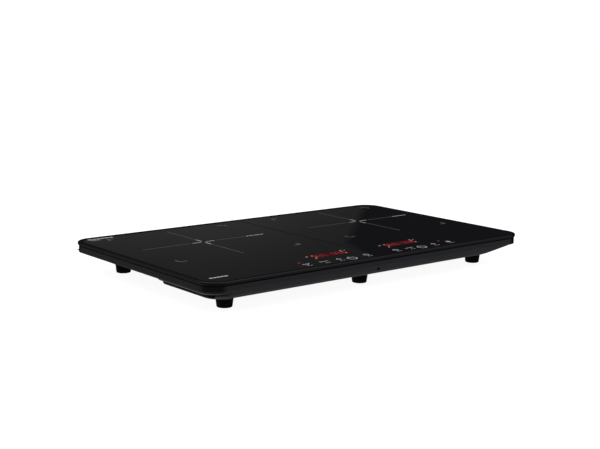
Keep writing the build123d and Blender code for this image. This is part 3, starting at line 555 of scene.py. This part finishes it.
# ---- stage: floor, studio surroundings, lights ---------------------------------------------------------
def make_floor():
    """Plain pale floor."""
    bpy.ops.mesh.primitive_plane_add(size=30, location=(0, 0, 0))
    floor = bpy.context.object
    floor.name = "floor"
    material = bpy.data.materials.new("floor")
    material.use_nodes = True
    shader = material.node_tree.nodes["Principled BSDF"]
    shader.inputs["Base Color"].default_value = (0.25, 0.25, 0.25, 1)
    shader.inputs["Roughness"].default_value = 1.0
    shader.inputs["Specular IOR Level"].default_value = 0.0
    shader.inputs["Emission Color"].default_value = (1, 1, 1, 1)
    shader.inputs["Emission Strength"].default_value = 0.93
    tree = material.node_tree
    clear = tree.nodes.new("ShaderNodeBsdfTransparent")
    side = tree.nodes.new("ShaderNodeNewGeometry")
    mix = tree.nodes.new("ShaderNodeMixShader")
    tree.links.new(side.outputs["Backfacing"], mix.inputs["Fac"])
    tree.links.new(shader.outputs["BSDF"], mix.inputs[1])
    tree.links.new(clear.outputs["BSDF"], mix.inputs[2])
    tree.links.new(mix.outputs["Shader"], tree.nodes["Material Output"].inputs["Surface"])
    floor.data.materials.append(material)
    floor.visible_glossy = False
    floor.visible_diffuse = False


def make_world():
    """White for the camera; for reflections a dark studio with a few broad soft panels."""
    world = bpy.data.worlds.new("studio")
    bpy.context.scene.world = world
    world.use_nodes = True
    tree = world.node_tree
    tree.nodes.clear()
    output = tree.nodes.new("ShaderNodeOutputWorld")
    coords = tree.nodes.new("ShaderNodeTexCoord").outputs["Generated"]
    path = tree.nodes.new("ShaderNodeLightPath")

    def math(operation, *values):
        return math_node(tree, operation, *values)

    def step(value, start, end, low, high):
        node = tree.nodes.new("ShaderNodeMapRange")
        node.interpolation_type = "SMOOTHSTEP"
        node.inputs["From Min"].default_value = start
        node.inputs["From Max"].default_value = end
        node.inputs["To Min"].default_value = low
        node.inputs["To Max"].default_value = high
        tree.links.new(value, node.inputs["Value"])
        return node.outputs["Result"]

    split = tree.nodes.new("ShaderNodeSeparateXYZ")
    tree.links.new(coords, split.inputs["Vector"])
    x, y, z = split.outputs
    heading = math("MULTIPLY", math("ARCTAN2", x, y), 180 / pi)      # 0 is +Y, 90 is +X
    rise = math("MULTIPLY", math("ARCSINE", z), 180 / pi)
    # low panel behind the object; its right edge leans with the height and turns back lower down
    lean = math("MAXIMUM", math("MULTIPLY_ADD", rise, -0.48, 47.6),
                math("MULTIPLY_ADD", rise, 2.1, 19.1))
    past_edge = math("SUBTRACT", heading, lean)
    panel = math("MULTIPLY", step(past_edge, -0.35, 0.35, 1.0, 0.0),
                 step(rise, 8.5, 13.5, 0.064, 0.031))
    # brighter towards its left
    panel = math("MULTIPLY", panel, step(heading, 33.5, 44.5, 1.18, 0.33))
    panel = math("ADD", panel, step(heading, 30, 44, 0.0, 0.014))
    behind = math("MULTIPLY", math("MULTIPLY", panel, step(y, 0.0, 0.2, 0.0, 1.0)),
                  step(rise, -2, 2, 0.0, 1.0))
    # side panels that light the front and the left walls
    right = math("MULTIPLY", step(heading, 100, 135, 0.0, 0.31), step(heading, 150, 172, 1.0, 0.0))
    left = math("MULTIPLY", step(heading, -80, -60, 0.0, 0.16), step(heading, -30, -5, 1.0, 0.0))
    sides = math("MULTIPLY", math("ADD", right, left), step(rise, 10, 25, 1.0, 0.15))
    # the pale floor seen by faces that turn down, and a broad soft top light
    from_front = math("MULTIPLY", step(heading, 0, 10, 0.0, 1.0), step(heading, 150, 178, 1.0, 0.0))
    below = math("MULTIPLY", step(rise, -50, -12, 0.85, 0.0),
                 math("MULTIPLY_ADD", from_front, -0.68, 1.0))
    overhead = step(rise, 25, 60, 0.0, 0.6)
    total = math("ADD", math("ADD", behind, sides), math("ADD", below, overhead))
    soft = step(rise, -60, 60, 0.06, 0.9)
    camera_or_soft = math("ADD", math("MULTIPLY", path.outputs["Is Camera Ray"], 1.0),
                          math("MULTIPLY", math("SUBTRACT", 1.0, path.outputs["Is Camera Ray"]), soft))
    glossy = path.outputs["Is Glossy Ray"]
    strength = math("ADD", math("MULTIPLY", glossy, total),
                    math("MULTIPLY", math("SUBTRACT", 1.0, glossy), camera_or_soft))
    # cool tint away from the neutral panel, in reflections only
    tint = math("MULTIPLY", glossy, math("MULTIPLY", step(past_edge, -0.35, 0.35, 0.0, 1.0),
                                         step(rise, -30, -15, 0.0, 1.0)))
    colour = tree.nodes.new("ShaderNodeMix")
    colour.data_type = "RGBA"
    colour.inputs["A"].default_value = (1, 1, 1, 1)
    colour.inputs["B"].default_value = (0.95, 0.93, 1.12, 1)
    tree.links.new(tint, colour.inputs["Factor"])
    background = tree.nodes.new("ShaderNodeBackground")
    tree.links.new(colour.outputs["Result"], background.inputs["Color"])
    tree.links.new(strength, background.inputs["Strength"])
    tree.links.new(background.outputs[0], output.inputs["Surface"])


def make_light(name, place, aim, size, power):
    """Soft area light aimed at a point, not seen in reflections."""
    data = bpy.data.lights.new(name, "AREA")
    data.shape = "DISK"
    data.size = size
    data.energy = power
    light = bpy.data.objects.new(name, data)
    light.location = place
    light.rotation_euler = (Vector(aim) - Vector(place)).to_track_quat("-Z", "Y").to_euler()
    light.visible_glossy = False
    bpy.context.scene.collection.objects.link(light)


CAMERA_PLACE = (-1.08448, -1.28895, 0.36785)
CAMERA_YAW = radians(-39.8635)
CAMERA_PITCH = radians(10.172)
CAMERA_ROLL = radians(0.917)
CAMERA_LENS = 67.5


def make_camera():
    """Camera at the viewing angle: yaw about Z, pitch down, small roll."""
    level = cos(CAMERA_PITCH)
    back = Vector((sin(CAMERA_YAW) * level, -cos(CAMERA_YAW) * level, sin(CAMERA_PITCH)))
    right = Vector((0, 0, 1)).cross(back).normalized()
    up = back.cross(right)
    turned_right = right * cos(CAMERA_ROLL) + up * sin(CAMERA_ROLL)
    turned_up = up * cos(CAMERA_ROLL) - right * sin(CAMERA_ROLL)
    data = bpy.data.cameras.new("camera")
    data.lens = CAMERA_LENS
    data.sensor_width = 36.0
    camera = bpy.data.objects.new("camera", data)
    columns = Matrix((turned_right, turned_up, back)).transposed()
    camera.matrix_world = Matrix.Translation(CAMERA_PLACE) @ columns.to_4x4()
    bpy.context.scene.collection.objects.link(camera)
    bpy.context.scene.camera = camera


make_floor()
make_world()
make_light("key", (-1.2, -0.4, 1.9), (0, 0, 0), 1.4, 14)
make_light("fill", (1.6, -1.4, 1.2), (0, 0, 0), 1.2, 7)
make_camera()
bpy.context.scene.view_settings.view_transform = "Standard"
bpy.context.scene.view_settings.look = "None"
